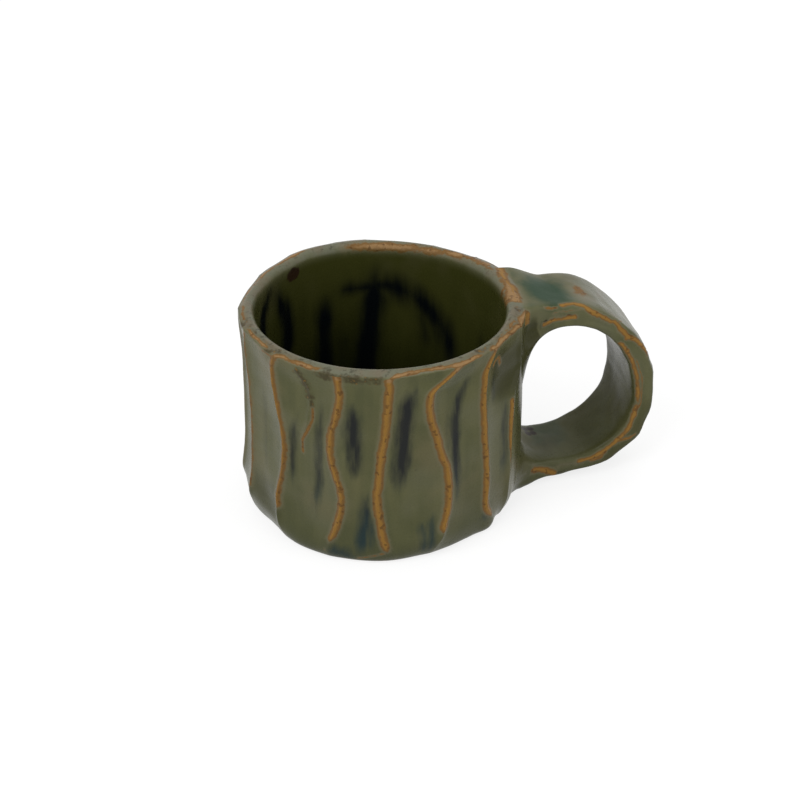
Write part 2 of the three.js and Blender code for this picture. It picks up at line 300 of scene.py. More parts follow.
# Brush strokes in degrees and millimetres of height: half width, strength and points.
# Dark runs of pooled glaze lie in the flutes, and others run down the bore.
FLUTE_RUNS = [
    (2.2, 1.05, [(274, 62), (268.5, 60), (266.4, 56), (265.6, 50), (265.5, 43), (265.0, 36), (264.0, 29),
                 (263.5, 24)]),
    (1.5, 0.5, [(262, 58), (261.5, 46), (261.2, 34), (261, 22)]),
    (1.6, 1.05, [(297, 61), (292.5, 57), (290, 53), (288.9, 48), (288.6, 40), (289, 32), (290, 24),
                 (290.6, 15)]),
    (1.3, 0.4, [(285, 56), (284.6, 44), (285.5, 34)]),
    (2.1, 1.1, [(243.2, 59), (244.4, 52), (244.2, 45), (244.4, 38), (245.0, 30)]),
    (1.2, 0.4, [(240.6, 56), (240.2, 46), (241.0, 36)]),
    (1.6, 0.68, [(231, 61), (230, 50), (229, 42), (228, 34), (227.6, 26), (226, 18), (225, 10)]),
    (1.6, 0.62, [(221, 53), (217, 45), (215.7, 40), (215, 33), (214.5, 27), (213.5, 18)]),
    (2.1, 0.85, [(250.4, 29), (249.4, 21), (248.3, 14), (247.2, 8), (246.5, 1)]),
    (1.7, 0.5, [(253, 22), (251.6, 12), (250, 2)]),
    (2.6, 0.7, [(231, 4.5), (238, 3.4), (246, 2.6)]),
    (1.6, 0.7, [(277.8, 18), (277.3, 9), (276.6, 0)]),
    (1.5, 0.65, [(272.4, 15), (273.6, 8), (274.5, 1)]),
    (1.8, 0.5, [(310, 10), (304, 5)]),
    (1.5, 0.6, [(319, 48), (318.6, 41), (318.2, 33), (318, 24), (318.4, 12)]),
    (1.3, 0.5, [(312.6, 58), (312.3, 52), (311.6, 45)]),
    (1.6, 0.3, [(196, 60), (197, 46), (196.4, 30), (197.5, 16)]),
    (2.2, 0.9, [(44, 62), (41.5, 56), (42.6, 44), (43, 34), (42, 22)]),
    (1.5, 0.5, [(38, 40), (38.4, 24), (37.6, 8)]),
    (2.4, 1.0, [(68, 63), (64.5, 59), (63, 50), (63.2, 40), (62.6, 28)]),
    (1.8, 0.7, [(57.4, 22), (58.4, 12), (59, 1)]),
    (2.0, 0.9, [(88, 60), (86, 52), (86.4, 40), (87, 28), (85, 14)]),
    (1.5, 0.5, [(81, 34), (81.6, 20), (80.4, 6)]),
    (2.6, 1.0, [(112, 62), (108.4, 58), (107, 50), (107.4, 40), (108.4, 30)]),
    (1.6, 0.6, [(103, 26), (104, 14), (103.4, 2)]),
    (2.0, 0.85, [(127, 58), (128, 46), (130.6, 34), (130, 20), (129, 10)]),
    (2.0, 0.7, [(122, 17), (120.4, 9), (119, 1)]),
    (2.4, 0.95, [(157, 62), (153.4, 57), (153, 48), (153.6, 38), (152, 26)]),
    (1.6, 0.55, [(147, 24), (148, 12), (147.4, 2)]),
    (1.7, 0.6, [(174, 60), (175, 46), (176, 30), (175.4, 16)]),
]
BORE_RUNS = [
    (3.8, 1.15, [(75.6, 63), (76.6, 54), (78.5, 46), (80.5, 36), (82, 26), (82.6, 16), (83, 5)]),
    (2.4, 0.85, [(101, 52.0), (89, 52.8), (77, 52.6), (68, 53.2), (56, 51.5)]),
    (4.0, 0.95, [(88, 55), (74, 54), (64, 52.2), (56, 49.4), (49, 46), (43.5, 42), (40, 36), (38.6, 29),
                 (38, 18)]),
    (3.0, 0.55, [(56, 48), (52, 40), (51, 30)]),
    (2.6, 1.15, [(134, 65), (143, 61), (147, 56), (148, 48), (148, 36), (148, 28)]),
    (2.8, 1.15, [(138, 65), (131, 57), (127, 51), (125, 45), (125, 36), (125, 28)]),
    (3.0, 1.1, [(102.8, 54), (103, 40), (103.2, 28), (103, 4)]),
    (2.6, 0.45, [(92, 40), (92.6, 28), (92.4, 12)]),
    (2.8, 0.8, [(200, 58), (203, 40), (201, 16)]),
    (3.0, 0.5, [(176, 56), (178, 40), (177, 18)]),
    (3.2, 0.9, [(255, 55), (250, 35), (252, 10)]),
    (2.8, 0.5, [(228, 50), (230, 34), (229, 14)]),
    (2.8, 0.8, [(310, 56), (306, 38), (308, 14)]),
    (2.6, 0.6, [(345, 54), (350, 26)]),
    (2.4, 0.5, [(18, 50), (16, 34), (17, 14)]),
]
# Bare rust-brown lines on the wall: down two ridges, at the foot of others, and round a scar near the handle
WALL_RUST = [
    (0.7, 0.76, [(226.5, 54.6), (226.8, 52.2), (226.5, 49.2), (223.4, 44.6), (220.6, 41), (220.1, 37.8),
                 (220.1, 34.8)]),
    (0.55, 0.75, [(258, 5.0), (254, 3.8), (250, 2.8), (244, 1.6)]),
    (0.6, 0.6, [(230, 3.6), (231.5, 3.6)]),
    (0.75, 1.0, [(311.4, 58.4), (312.4, 60.6), (315.2, 61), (317, 59.4), (318.2, 56.6)]),
    (0.65, 1.1, [(322.4, 46), (322.1, 40), (321.7, 33), (321.6, 27), (322, 20)]),
]
# Scuffs that bared dark clay, along the ridge that fades out
WALL_SCUFFS = [
    (1.5, 1.0, [(218.4, 65.6), (221.2, 63.6), (223.6, 60.8), (225.2, 58.4), (226, 55.6)]),
    (0.8, 0.8, [(226.2, 57), (226.8, 52.4), (226.7, 49)]),
]
# Bare lines along the lip, in degrees and millimetres in from its outer edge
LIP_RUST = [
    (0.8, 0.95, [(154, 0.8), (162, 1.3), (170, 1.4), (180, 0.9)]),
    (0.5, 0.8, [(190, -1.3), (199, -1.2), (205, -1.1), (211, -1.5)]),
    (0.7, 0.9, [(182, 0.8), (189, 0.7), (196, 0.7), (205, 1.0)]),
    (0.85, 1.05, [(206, 0.0), (211, 0.5), (219, 0.6), (227, 0.8), (232, 1.1)]),
    (0.75, 1.05, [(256, -0.9), (262, 0.6), (271, 1.3), (281, 0.9), (290, 0.3), (298, 0.4), (307, 0.1)]),
    (1.0, 1.1, [(303, 0.1), (312, 0.3), (321, 0.5), (331, 0.2), (340, -0.8)]),
    (0.6, 0.85, [(316, 1.9), (324, 1.7), (333, 2.1)]),
    (0.9, 1.0, [(104, 2.4), (118, 2.2), (133, 1.8), (147, 1.4), (160, 0.9)]),
    (1.7, 0.95, [(98, 4.6), (88, 4.8), (75, 4.8), (62, 4.6), (50, 4.2), (37, 3.3), (25, 2.0), (15, 1.0),
                 (9, 0.4)]),
    (0.6, 0.75, [(96, 1.0), (84, 0.8), (70, 1.0)]),
]
# Dark marks on the lip, in the same measure
LIP_SCUFFS = [
    (0.8, 1.1, [(177.5, -0.6), (180, 0.0), (182, 0.5)]),
    (0.9, 1.2, [(201, -0.4), (204, 0.2), (206.5, 0.8)]),
    (0.7, 1.0, [(231.5, 0.4), (234.5, 0.0), (238, -0.3)]),
    (0.5, 0.9, [(318, 2.6), (321, 2.4)]),
    (0.5, 0.9, [(329, 3.2), (334, 2.8)]),
    (0.5, 0.8, [(299, 2.4), (303, 2.2)]),
]
# Bare lines where the handle's strap runs into the lip, in degrees and millimetres in from the rim's radius
ROOT_RUST = [
    (1.7, 1.05, [(18, -2.4), (14, -0.9), (9, 0.4), (5, 1.2), (0, 1.6)]),
    (2.7, 1.1, [(4, 1.0), (-3, 1.4), (-9, 1.4), (-15, 1.2)]),
    (1.2, 1.05, [(-17, -3.6), (-20.5, -2.6), (-24, -1.6), (-29, -0.5)]),
]
# Arcs of the lip where the glaze is worn off outside and scuffed inside: from, to and the soft border
WORN_LIP = (228, 258, 6)
SCUFFED_LIP = [(292, 348, 8), (172, 232, 8)]
# Iron specks on the wall and a burnt spot in the bore, in degrees and millimetres of height
SPECKS = [
    (270.4, 32.9), (271.7, 30.4), (295.7, 65), (274.6, 66.2), (264.5, 66.4), (283.8, 6.8),
    (48, 30), (101, 55),
]
SPECK_RADIUS = 0.9
BORE_SPOT = (120.6, 63.4)
BORE_SPOT_RADIUS = 2.2

OLIVE = (0.102, 0.101, 0.044, 1)
OLIVE_DEEP = (0.074, 0.077, 0.034, 1)
OLIVE_PAINTED_SHADE = (0.036, 0.036, 0.010, 1)
OLIVE_GREY = (0.108, 0.108, 0.064, 1)
KHAKI = (0.128, 0.112, 0.056, 1)
OLIVE_LOW_SHADE = (0.056, 0.060, 0.026, 1)
LIP_GREY = (0.126, 0.127, 0.087, 1)
LIP_DARK = (0.046, 0.043, 0.028, 1)
LIP_BROWN = (0.136, 0.116, 0.078, 1)
HALO = (0.142, 0.126, 0.074, 1)
RUST = (0.150, 0.078, 0.022, 1)
RUST_CORE = (0.238, 0.125, 0.026, 1)
RUST_PALE = (0.250, 0.148, 0.062, 1)
RUST_DEEP = (0.070, 0.032, 0.010, 1)
SLATE = (0.0105, 0.012, 0.013, 1)
MURK = (0.030, 0.040, 0.026, 1)
TEAL_DEEP = (0.014, 0.030, 0.032, 1)
TEAL = (0.016, 0.040, 0.019, 1)
WORN = (0.036, 0.025, 0.010, 1)
BURNT = (0.022, 0.012, 0.006, 1)


def lerp(a, b, share):
    return a + (b - a) * share


def smooth(value, low, high):
    share = min(1.0, max(0.0, (value - low) / (high - low)))
    return share * share * (3 - 2 * share)


def window(value, low, high, soft):
    """1 between two values, falling to 0 over a soft border."""
    return smooth(value, low - soft, low + soft) * (1 - smooth(value, high - soft, high + soft))


def ripple(x, y, seed):
    return noise.noise(Vector((x, y, 11.7 * seed)))


def strokes(lines, width, height=1):
    """Brush strokes with their points in millimetres, and the box that each can reach."""
    ready = []
    for half, strength, points in lines:
        points = [(x * width, y * height) for x, y in points]
        xs, ys = zip(*points)
        reach = 3 * half
        box = (min(xs) - reach, max(xs) + reach, min(ys) - reach, max(ys) + reach)
        ready += [(half, strength, points, box)]
    return ready


def brushed(x, y, ready, tail):
    """Strength of strokes at a place: 1 on a line, 0 at twice its half width, fading over its tails."""
    strongest = 0
    for half, strength, points, (left, right, low, high) in ready:
        if not (left < x < right and low < y < high):
            continue
        nearest = 3 * half
        along = 0
        for number, ((x1, y1), (x2, y2)) in enumerate(zip(points, points[1:])):
            dx, dy = x2 - x1, y2 - y1
            part = min(1.0, max(0.0, ((x - x1) * dx + (y - y1) * dy) / (dx * dx + dy * dy)))
            away = math.hypot(x - x1 - part * dx, y - y1 - part * dy)
            if away < nearest:
                nearest = away
                along = (number + part) / (len(points) - 1)
        fade = min(1.0, along / tail + 0.1, (1 - along) / tail + 0.1)
        strongest = max(strongest, strength * fade * (1 - nearest / (2 * half)))
    return max(0.0, strongest)


def ridge_angle(number, z):
    ridge = RIDGES[number]
    swing = ridge["sway"] * math.cos(2 * math.pi * (z - ridge["crest"]) / ridge["wave"])
    bend = ridge.get("bend", CUP_HEIGHT - HOOK_HEIGHT)
    hook = ridge.get("hook", 0) * smooth(z, bend, bend + HOOK_HEIGHT)
    toe = ridge.get("toe", 0) * (1 - smooth(z, 0, TOE_HEIGHT))
    kink = KINK * (ripple(z * 0.13, 0, number) + 0.5 * ripple(z * 0.31, 5, number))
    return math.radians(ridge["at"] + swing + hook + toe + kink)


def ridge_strength(number, z):
    if "fade" not in RIDGES[number]:
        return 1.0
    return 0.6 * smooth(z, RIDGES[number]["fade"], RIDGES[number]["fade"] + FADE_LENGTH)


def bareness(number, z):
    """How bare of glaze a ridge's crest is at a height."""
    ridge = RIDGES[number]
    top = ridge.get("top", 2 * CUP_HEIGHT)
    return ridge["bare"] * smooth(z, ridge["foot"] - 2, ridge["foot"] + 2.5) * (1 - smooth(z, top - 4, top))


def carved(number, share, z):
    """Angle, move from the turned radius and bareness, at a share of the way from one ridge to the next."""
    following = (number + 1) % len(RIDGES)
    start_angle = ridge_angle(number, z)
    end_angle = ridge_angle(following, z) + (2 * math.pi if following == 0 else 0)
    angle = lerp(start_angle, end_angle, share)
    width = RIM_RADIUS * (end_angle - start_angle)
    carving = lerp(FOOT_CARVING, 1, smooth(z, 0, TOE_HEIGHT))
    carving *= lerp(1, LIP_CARVING, smooth(z, CUP_HEIGHT - HOOK_HEIGHT, CUP_HEIGHT))
    a = ridge_strength(number, z)
    b = ridge_strength(following, z)
    rib = 0
    thin = 0
    for ridge, strength, away in ((number, a, share * width), (following, b, (1 - share) * width)):
        rib += RIB_HEIGHT * strength * smooth(z, 3, 10) * math.exp(-((away / RIB_HALF_WIDTH) ** 2))
        thin = max(thin, bareness(ridge, z) * (1 - away / RUST_REACH))
    rise = RIDGES[number].get("rise", 0)
    next_rise = RIDGES[following].get("rise", 0)
    uneven = UNEVEN * ripple(angle * 5, z * 0.09, 40)
    if following == 0:
        border = (2 * share - 1) ** 4
        return angle, lerp(LAND_BULGE, lerp(rise, next_rise, share), border) + rib + uneven, thin
    depth = width * width / 8 * (1 / RIM_RADIUS + 1 / FLUTE_RADIUS)
    sag = depth * 4 * share * (1 - share) + FADED_DEPTH * ((1 - a) * (1 - share) + (1 - b) * share)
    stand = rise * (1 - share) ** 2 + next_rise * share ** 2
    return angle, (rib - sag) * carving + stand + uneven, thin


def hand_shaped(degrees, z):
    """How far the wall was pushed out or pared away by hand, at an angle and a height."""
    moved = FOOT_SWELL * window(degrees, *FOOT_SWELL_ARC) * window(z, *FOOT_SWELL_BAND)
    swell = LIP_SWELL * window(degrees, *LIP_SWELL_ARC)
    moved += swell * lerp(-0.9, 1, smooth(z, 50, CUP_HEIGHT)) * smooth(z, 16, 24)
    moved -= LAND_TAPER * window(degrees, *LAND_TAPER_ARC) * (1 - smooth(z, 4, 20))
    for low, high, soft, depth in PARED:
        moved -= depth * window(degrees, low, high, soft) * (1 - smooth(z, 0, FOOT_ROUND_HEIGHT))
    return moved


def wall_painted_shade(degrees, z):
    """How strong the painted shade is on the wall, at an angle and a height."""
    # Past the handle, degrees count on over a full turn, as the arcs do
    counted = degrees if degrees > 90 else degrees + 360
    return max(strength * window(counted, *arc) * window(z, *band) for strength, arc, band in PAINTED_SHADE_PLACES)


def turned_radius(z):
    flare = WALL_FLARE * (1 - smooth(z, CUP_HEIGHT / 2, CUP_HEIGHT))
    drop = min(1.0, max(0.0, 1 - z / FOOT_ROUND_HEIGHT))
    return RIM_RADIUS - flare - FOOT_INSET * (1 - math.sqrt(1 - drop * drop))


def bore_oval(angle):
    return BORE_OVAL * math.cos(2 * angle + math.pi / 6) + BORE_SHIFT * math.cos(angle + math.pi / 12)


def lip_lift(angle, z):
    """How far the lip stands above its turned height at an angle, fading out down the wall."""
    degrees = math.degrees(angle) % 360
    end = next(i for i, (at, _) in enumerate(LIP_WAVES) if at > degrees)
    (at, lift), (at2, lift2) = LIP_WAVES[end - 1], LIP_WAVES[end]
    return lerp(lift, lift2, smooth(degrees, at, at2)) * smooth(z, CUP_HEIGHT / 2, CUP_HEIGHT)


# The wall's outline from under the foot, up the carved side, over the lip and down the bore: radius, height,
# share of the carving and share of the bore's oval. It closes inside the clay, where the slab and the seam
# coil hide it.
lip_edge = CUP_HEIGHT - LIP_FALL
crest_radius = RIM_RADIUS - LIP_CREST_INSET
bore_top = CUP_HEIGHT - LIP_INNER_FALL
outline = [(BORE_RADIUS - FOOT_LAP, 0, 0, 0), (turned_radius(0) - FOOT_CHAMFER, 0, 1, 0)]
for row in range(FOOT_ROWS):
    z = lerp(FOOT_CHAMFER_HEIGHT, FOOT_ROUND_HEIGHT, 1 - math.cos(math.pi / 2 * row / FOOT_ROWS))
    outline += [(turned_radius(z), z, 1, 0)]
for row in range(WALL_ROWS):
    z = lerp(FOOT_ROUND_HEIGHT, lip_edge - LIP_ROUND_HEIGHT, row / (WALL_ROWS - 1))
    outline += [(turned_radius(z), z, 1, 0)]
edge_row = len(outline)
for row in range(1, LIP_ROUND_ROWS):
    bend = math.pi / 2 * row / LIP_ROUND_ROWS
    radius = RIM_RADIUS - LIP_ROUND * (1 - math.cos(bend))
    outline += [(radius, lip_edge - LIP_ROUND_HEIGHT + LIP_ROUND_HEIGHT * math.sin(bend), 1, 0)]
for row in range(1, LIP_SLOPE_ROWS + 1):
    share = row / LIP_SLOPE_ROWS
    radius = lerp(RIM_RADIUS - LIP_ROUND, crest_radius, share)
    z = lerp(lip_edge, CUP_HEIGHT, math.sin(math.pi / 2 * share))
    outline += [(radius, z, lerp(1, CREST_CARVING, share), CREST_OVAL * share)]
crest_row = len(outline) - 1
for row in range(1, LIP_ROLL_ROWS + 1):
    share = row / LIP_ROLL_ROWS
    radius = lerp(BORE_RADIUS, crest_radius, 1 - math.sin(math.pi / 2 * share))
    z = bore_top + LIP_INNER_FALL * math.cos(math.pi / 2 * share)
    outline += [(radius, z, CREST_CARVING * (1 - share), lerp(CREST_OVAL, 1, share))]
for row in range(1, BORE_ROWS + 1):
    outline += [(BORE_RADIUS, lerp(bore_top, FLOOR_THICKNESS + BORE_END, row / BORE_ROWS), 0, 1)]
outline += [(BORE_RADIUS + BORE_END_INSET, FLOOR_THICKNESS, 0, 1)]

# Millimetres along the outline from the lip's outer edge, towards the bore
travel = [0]
for (r, z, _, _), (r2, z2, _, _) in zip(outline, outline[1:]):
    travel += [travel[-1] + math.hypot(r2 - r, z2 - z)]
travel = [length - travel[edge_row + 2] for length in travel]
crest_travel = travel[crest_row]

columns = []
for number in range(len(RIDGES)):
    count = LAND_COLUMNS if number == len(RIDGES) - 1 else COLUMNS
    for column in range(count):
        even = column / count
        columns += [(number, lerp(even, (1 - math.cos(math.pi * even)) / 2, COLUMN_BUNCHING))]

wall = bmesh.new()
row_layer = wall.verts.layers.int.new("row")
spots = [wall.verts.new((r, 0, z)) for r, z, _, _ in outline]
for row, spot in enumerate(spots):
    spot[row_layer] = row
for a, b in zip(spots, spots[1:] + spots[:1]):
    wall.edges.new((a, b))
bmesh.ops.spin(
    wall, geom=wall.verts[:] + wall.edges[:], axis=(0, 0, 1), cent=(0, 0, 0),
    angle=2 * math.pi, steps=len(columns), use_merge=True,
)
mm_per_degree = math.radians(RIM_RADIUS)
flute_runs = strokes(FLUTE_RUNS, mm_per_degree)
bore_runs = strokes(BORE_RUNS, mm_per_degree)
wall_rust = strokes(WALL_RUST, mm_per_degree)
wall_scuffs = strokes(WALL_SCUFFS, mm_per_degree)
lip_rust = strokes(LIP_RUST, mm_per_degree)
lip_scuffs = strokes(LIP_SCUFFS, mm_per_degree)
root_rust = strokes(ROOT_RUST, mm_per_degree)
LAYERS = ("thin", "pool", "lip", "worn", "inside", "teal", "speck", "shade_paint", "frayed")
layers = {name: wall.verts.layers.float.new(name) for name in LAYERS}
for vert in wall.verts:
    row = vert[row_layer]
    radius, z, carving, oval = outline[row]
    column = round(math.atan2(vert.co.y, vert.co.x) / (2 * math.pi) * len(columns)) % len(columns)
    angle, offset, thin = carved(*columns[column], z)
    angle %= 2 * math.pi
    degrees = math.degrees(angle)
    offset += hand_shaped(degrees, z)
    r = radius + carving * offset + oval * bore_oval(angle)
    vert.co = (r * math.cos(angle), r * math.sin(angle), z + lip_lift(angle, z))

    # Its glaze: rust on the ridges, foot and lip, dark runs in the flutes and the bore, worn marks and specks
    x = degrees * mm_per_degree
    ragged = 0.55 * ripple(x * 0.5, z * 0.16, 50) + 0.3 * ripple(x * 1.3, z * 0.4, 51)
    edge = travel[row]
    patchy = 0.9 + 0.45 * ripple(x * 0.16, edge * 0.3, 71)
    worn_lip = window(degrees, *WORN_LIP) * (0.8 + 0.7 * ripple(x * 0.25, 0, 73))
    worn_lip *= 1 - smooth(abs(edge + 1.0 + 0.5 * ripple(x * 0.5, 0, 74)), 0.7, 2.3)
    worn_lip = max(worn_lip, brushed(x, edge, lip_scuffs, 0.2))
    rust = brushed(x, edge + 0.45 * ripple(x * 0.3, 0, 70), lip_rust, 0.15) * patchy
    if row < edge_row:
        foot_line = max(0.0, 1 - abs(z - 0.3)) * (0.45 + 0.9 * ripple(x * 0.12, 0, 72))
        rust = max(rust, thin, brushed(x, z, wall_rust, 0.1), foot_line)
        vert[layers["pool"]] = brushed(x + ragged, z + 3 * ragged, flute_runs, 0.3)
        vert[layers["worn"]] = max(0.0, worn_lip, brushed(x, z, wall_scuffs, 0.1))
        near = min(math.hypot(x - at * mm_per_degree, z - up) for at, up in SPECKS)
        vert[layers["speck"]] = max(0.0, 1 - near / SPECK_RADIUS)
    else:
        slow = 1.5 * ripple(x * 0.12, z * 0.10, 52)
        vert[layers["pool"]] = brushed(x + slow, z + slow, bore_runs, 0.3)
        near = math.hypot((x - BORE_SPOT[0] * mm_per_degree) / 1.4, z - BORE_SPOT[1])
        vert[layers["speck"]] = smooth(BORE_SPOT_RADIUS + 0.6 * ragged - near, -0.6, 0.6)
        scuffed = max(window(degrees, *arc) for arc in SCUFFED_LIP)
        vert[layers["worn"]] = max(worn_lip, 0.55 * scuffed * window(edge, 0.0, 2.6, 0.9))
        turned = ((degrees + 180) % 360 - 180) * mm_per_degree
        rust = max(rust, brushed(turned, RIM_RADIUS - r, root_rust, 0.12) * patchy)
    vert[layers["thin"]] = max(0.0, rust)
    vert[layers["lip"]] = smooth(edge, -0.8, 1.0) * (1 - smooth(edge, crest_travel + 0.4, crest_travel + 5.5))
    vert[layers["inside"]] = smooth(edge, crest_travel + 0.3, crest_travel + 7.5)
    vert[layers["frayed"]] = 0.5 * smooth(edge, -2.5, -0.5)
    # Painted shade round the handle's joints, inside its ring and low on the left flutes
    if row < edge_row:
        vert[layers["shade_paint"]] = wall_painted_shade(degrees, z)

glaze, start, surface = new_finish("olive_glaze", GLAZE_SHEEN)
place = start.place()
height = place.height()
drawn = start.node("ShaderNodeMapping", None, {"Vector": place, "Scale": (1.0, 1.0, 0.16)})
fine = start.grain(place, 900.0, 3.0)
mottle = start.grain(place, 320.0, 3.0)
broad = start.grain(place, 55.0, 2.0)
curtain = start.grain(drawn, 210.0, 3.0)
feather = start.grain(drawn, 640.0, 3.0)
thin, pool, lip, worn, inside, teal, speck, shade_paint, frayed = (start.painted(layer) for layer in LAYERS)
fray = (fine - 0.5) * 0.5 + (mottle - 0.5) * 0.8
edge = thin + fray * (0.42 + frayed * 0.9) * thin.step(0.0, 0.35)
halo = edge.step(0.08, 0.52)
rust = edge.step(0.43, 0.66)
core = edge.step(0.64, 0.94)
crack = start.grain(place, 620.0, 1.0).step(0.60, 0.68)
clouds = start.grain(place, 150.0, 3.0)
body = (curtain * 0.6 + broad * 0.4).step(0.36, 0.66).mix(OLIVE_DEEP, OLIVE)
body = (broad.step(0.45, 0.72) * 0.55).mix(body, OLIVE_GREY)
body = (start.grain(place, 38.0, 3.0).step(0.48, 0.70) * 0.6).mix(body, KHAKI)
# Painted shade: the olive darkens towards the foot
low = 1 - (height + (broad - 0.5) * 0.02).step(-0.002, 0.030)
body = (low * 0.62).mix(body, OLIVE_LOW_SHADE)
rim = clouds.step(0.42, 0.62).mix(LIP_GREY, LIP_BROWN)
rim = ((fine * 0.45 + mottle * 0.55).step(0.51, 0.63) * lip.step(0.6, 1.0) * 0.8).mix(rim, LIP_DARK)
body = ((lip + (mottle - 0.5) * 0.9).step(0.15, 1.0) * 0.9).mix(body, rim)
# Painted shade: darker olive round the handle's joints, inside its ring and low on the left flutes
body = ((shade_paint + (clouds - 0.5) * 0.4).step(0.05, 0.85) * 0.95).mix(body, OLIVE_PAINTED_SHADE)
streaks = 1 + (feather - 0.5) * 1.3 + (curtain - 0.5) * 0.9
run = (pool * streaks).step(0.11, 1.0)
body = ((pool * streaks).step(0.08, 0.6) * 0.3).mix(body, MURK)
body = (run * 0.96).mix(body, (height + (curtain - 0.5) * 0.03).step(0.012, 0.034).mix(TEAL_DEEP, SLATE))
body = ((teal + (mottle - 0.5) * 0.4).step(0.08, 0.75) * 0.97).mix(body, TEAL)
scuff = (worn + (mottle - 0.5) * 1.0 + (fine - 0.5) * 1.4) * worn.step(0.0, 0.4)
scuff = scuff.step(0.2, 1.0)
body = (scuff * 0.75).mix(body, WORN)
body = (worn.step(0.1, 0.6) * fine.step(0.60, 0.70) * 0.5).mix(body, RUST_CORE)
body = (halo * 0.6).mix(body, HALO)
body = rust.mix(body, core.mix(RUST, frayed.step(0.1, 0.4).mix(RUST_CORE, RUST_PALE)))
body = (rust * (crack * 0.6 + frayed * mottle.step(0.54, 0.68) * 0.5)).mix(body, RUST_DEEP)
body = speck.step(0.3, 0.9).mix(body, IRON_SPOT)
inner_run = (pool * (1 + (feather - 0.5) * 0.5 + (curtain - 0.5) * 1.2)).step(0.0, 0.95)
inner = speck.step(0.2, 0.7).mix(liner(start, inner_run), BURNT)
coat(
    surface,
    inside.step(0.05, 0.95).mix(body, inner),
    0.24 + rust * 0.16 + worn * 0.15 + teal * 0.25 + fine * 0.08,
    fine * 0.20 + mottle * 0.30 + core * 0.25 - crack * rust * 0.3 - scuff * 0.5,
    0.12,
)
fire(wall, "wall", glaze, "outer_glaze", "cup_wall")

# Seam coil: a thin roll of clay pressed into the inside corner between slab and wall and wiped hollow.
# It strengthens the seam and leaves no corner that is hard to clean.
SEAM_COIL = 6.0
SEAM_DEPTH = 0.6
SEAM_LAP = 0.4
# The edge that is wiped out over the slab: millimetres in from the coil and below the floor
WIPED_EDGE = [(1.0, 0.12), (0.5, 0.04)]
COIL_STEPS = 144
COIL_ROWS = 10
seam = bmesh.new()
arc = [math.pi / 2 * row / COIL_ROWS for row in range(COIL_ROWS + 1)]
cove = [
    (BORE_RADIUS - SEAM_COIL * (1 - math.sin(a)), FLOOR_THICKNESS + SEAM_COIL * (1 - math.cos(a)))
    for a in arc
]
wiped = [(cove[0][0] - reach, FLOOR_THICKNESS - sunk) for reach, sunk in WIPED_EDGE]
foot = FLOOR_THICKNESS - SEAM_DEPTH
toe = (wiped[0][0], foot)
hidden = [(BORE_RADIUS + SEAM_LAP, cove[-1][1]), (BORE_RADIUS + SEAM_LAP, foot)]
turn(seam, [toe] + wiped + cove + hidden + [toe], COIL_STEPS)
for vert in seam.verts:
    angle = math.atan2(vert.co.y, vert.co.x)
    reach = math.hypot(vert.co.x, vert.co.y)
    stretch = 1 + bore_oval(angle) * smooth(reach, BORE_RADIUS - SEAM_COIL - 1, BORE_RADIUS) / reach
    vert.co.x *= stretch
    vert.co.y *= stretch
dark_glaze, start, surface = new_finish("liner_glaze", GLAZE_SHEEN)
grain = start.grain(start.place(), 700.0, 2.0)
run = start.grain(start.place(), 60.0).step(0.5, 0.65)
coat(surface, liner(start, run), 0.24 + grain * 0.05, grain, 0.04)
fire(seam, "seam_coil", dark_glaze, "liner_glaze", "floor_seam_coil")

# Handle: a wide strap of clay bent into a ring and pressed onto the wall at the lip and near the foot.
# Its outer face is cut in facets, and a thumb has dented its top. Coils of clay smooth both joints into
# the wall.
FINGER_REACH = 37.6
BEND_REACH = 23.8
BEND_HEIGHT = 30.0
STRAP_WIDTH = 26.0
STRAP_FOOT_WIDTH = 22.0
STRAP_TOP_THICKNESS = 7.8
STRAP_FOOT_THICKNESS = 4.6
STRAP_TOP_DROP = 1.2
STRAP_LIFT = 4.2
FACET_DEPTH = 0.9
THUMB_SLOPE = 1.15
THUMB_DENT = 0.45
THUMB_AT = (53.0, -2.3)
THUMB_LENGTH = 6.2
THUMB_WIDTH = 9.0
TWIST = 0.9
FOOT_LIFT = 1.2
INNER_SWELL = 1.1
SQUARENESS = 7.0
STRAP_STEPS = 330
STRAP_POINTS = 150
SECTION_SAMPLES = 40
HALF_TURN = 180
SKEW = 0.015
# How far the strap stands out at its knuckles: share of its free length, and millimetres
KNUCKLES = [
    (0, 0.4), (0.2, -1.05), (0.385, 0.4), (0.41, 0.9), (0.45, 1.0), (0.58, 1.25), (0.64, 2.5), (0.74, 2.4),
    (0.88, 1.6), (1, 2),
]
# How far the joints' clay is smoothed out along the strap and along the wall, at its inner face, outer face
# and flanks
UPPER_SPREAD = dict(inner=(14.0, 22.0), outer=(1.0, 0.5), near=(4.0, 2.5), far=(6.0, 5.0))
LOWER_SPREAD = dict(inner=(10.0, 8.0), outer=(24.0, 11.0), near=(12.0, 8.0), far=(10.0, 6.0))
JOINT_SINK = 0.45
LIP_BLEND = 12.0
LIP_COVER = 0.07
ROOT_MARGIN = 1.6
ROOT_FALL = 0.6
NEAR_FLARE = 0.5
FAR_FLARE = 1.0
FLARE_LENGTH = 12.0
SUNK = 12.0
STRAP_CLEARANCE = 0.5
FLANK_HEIGHT = 6.5
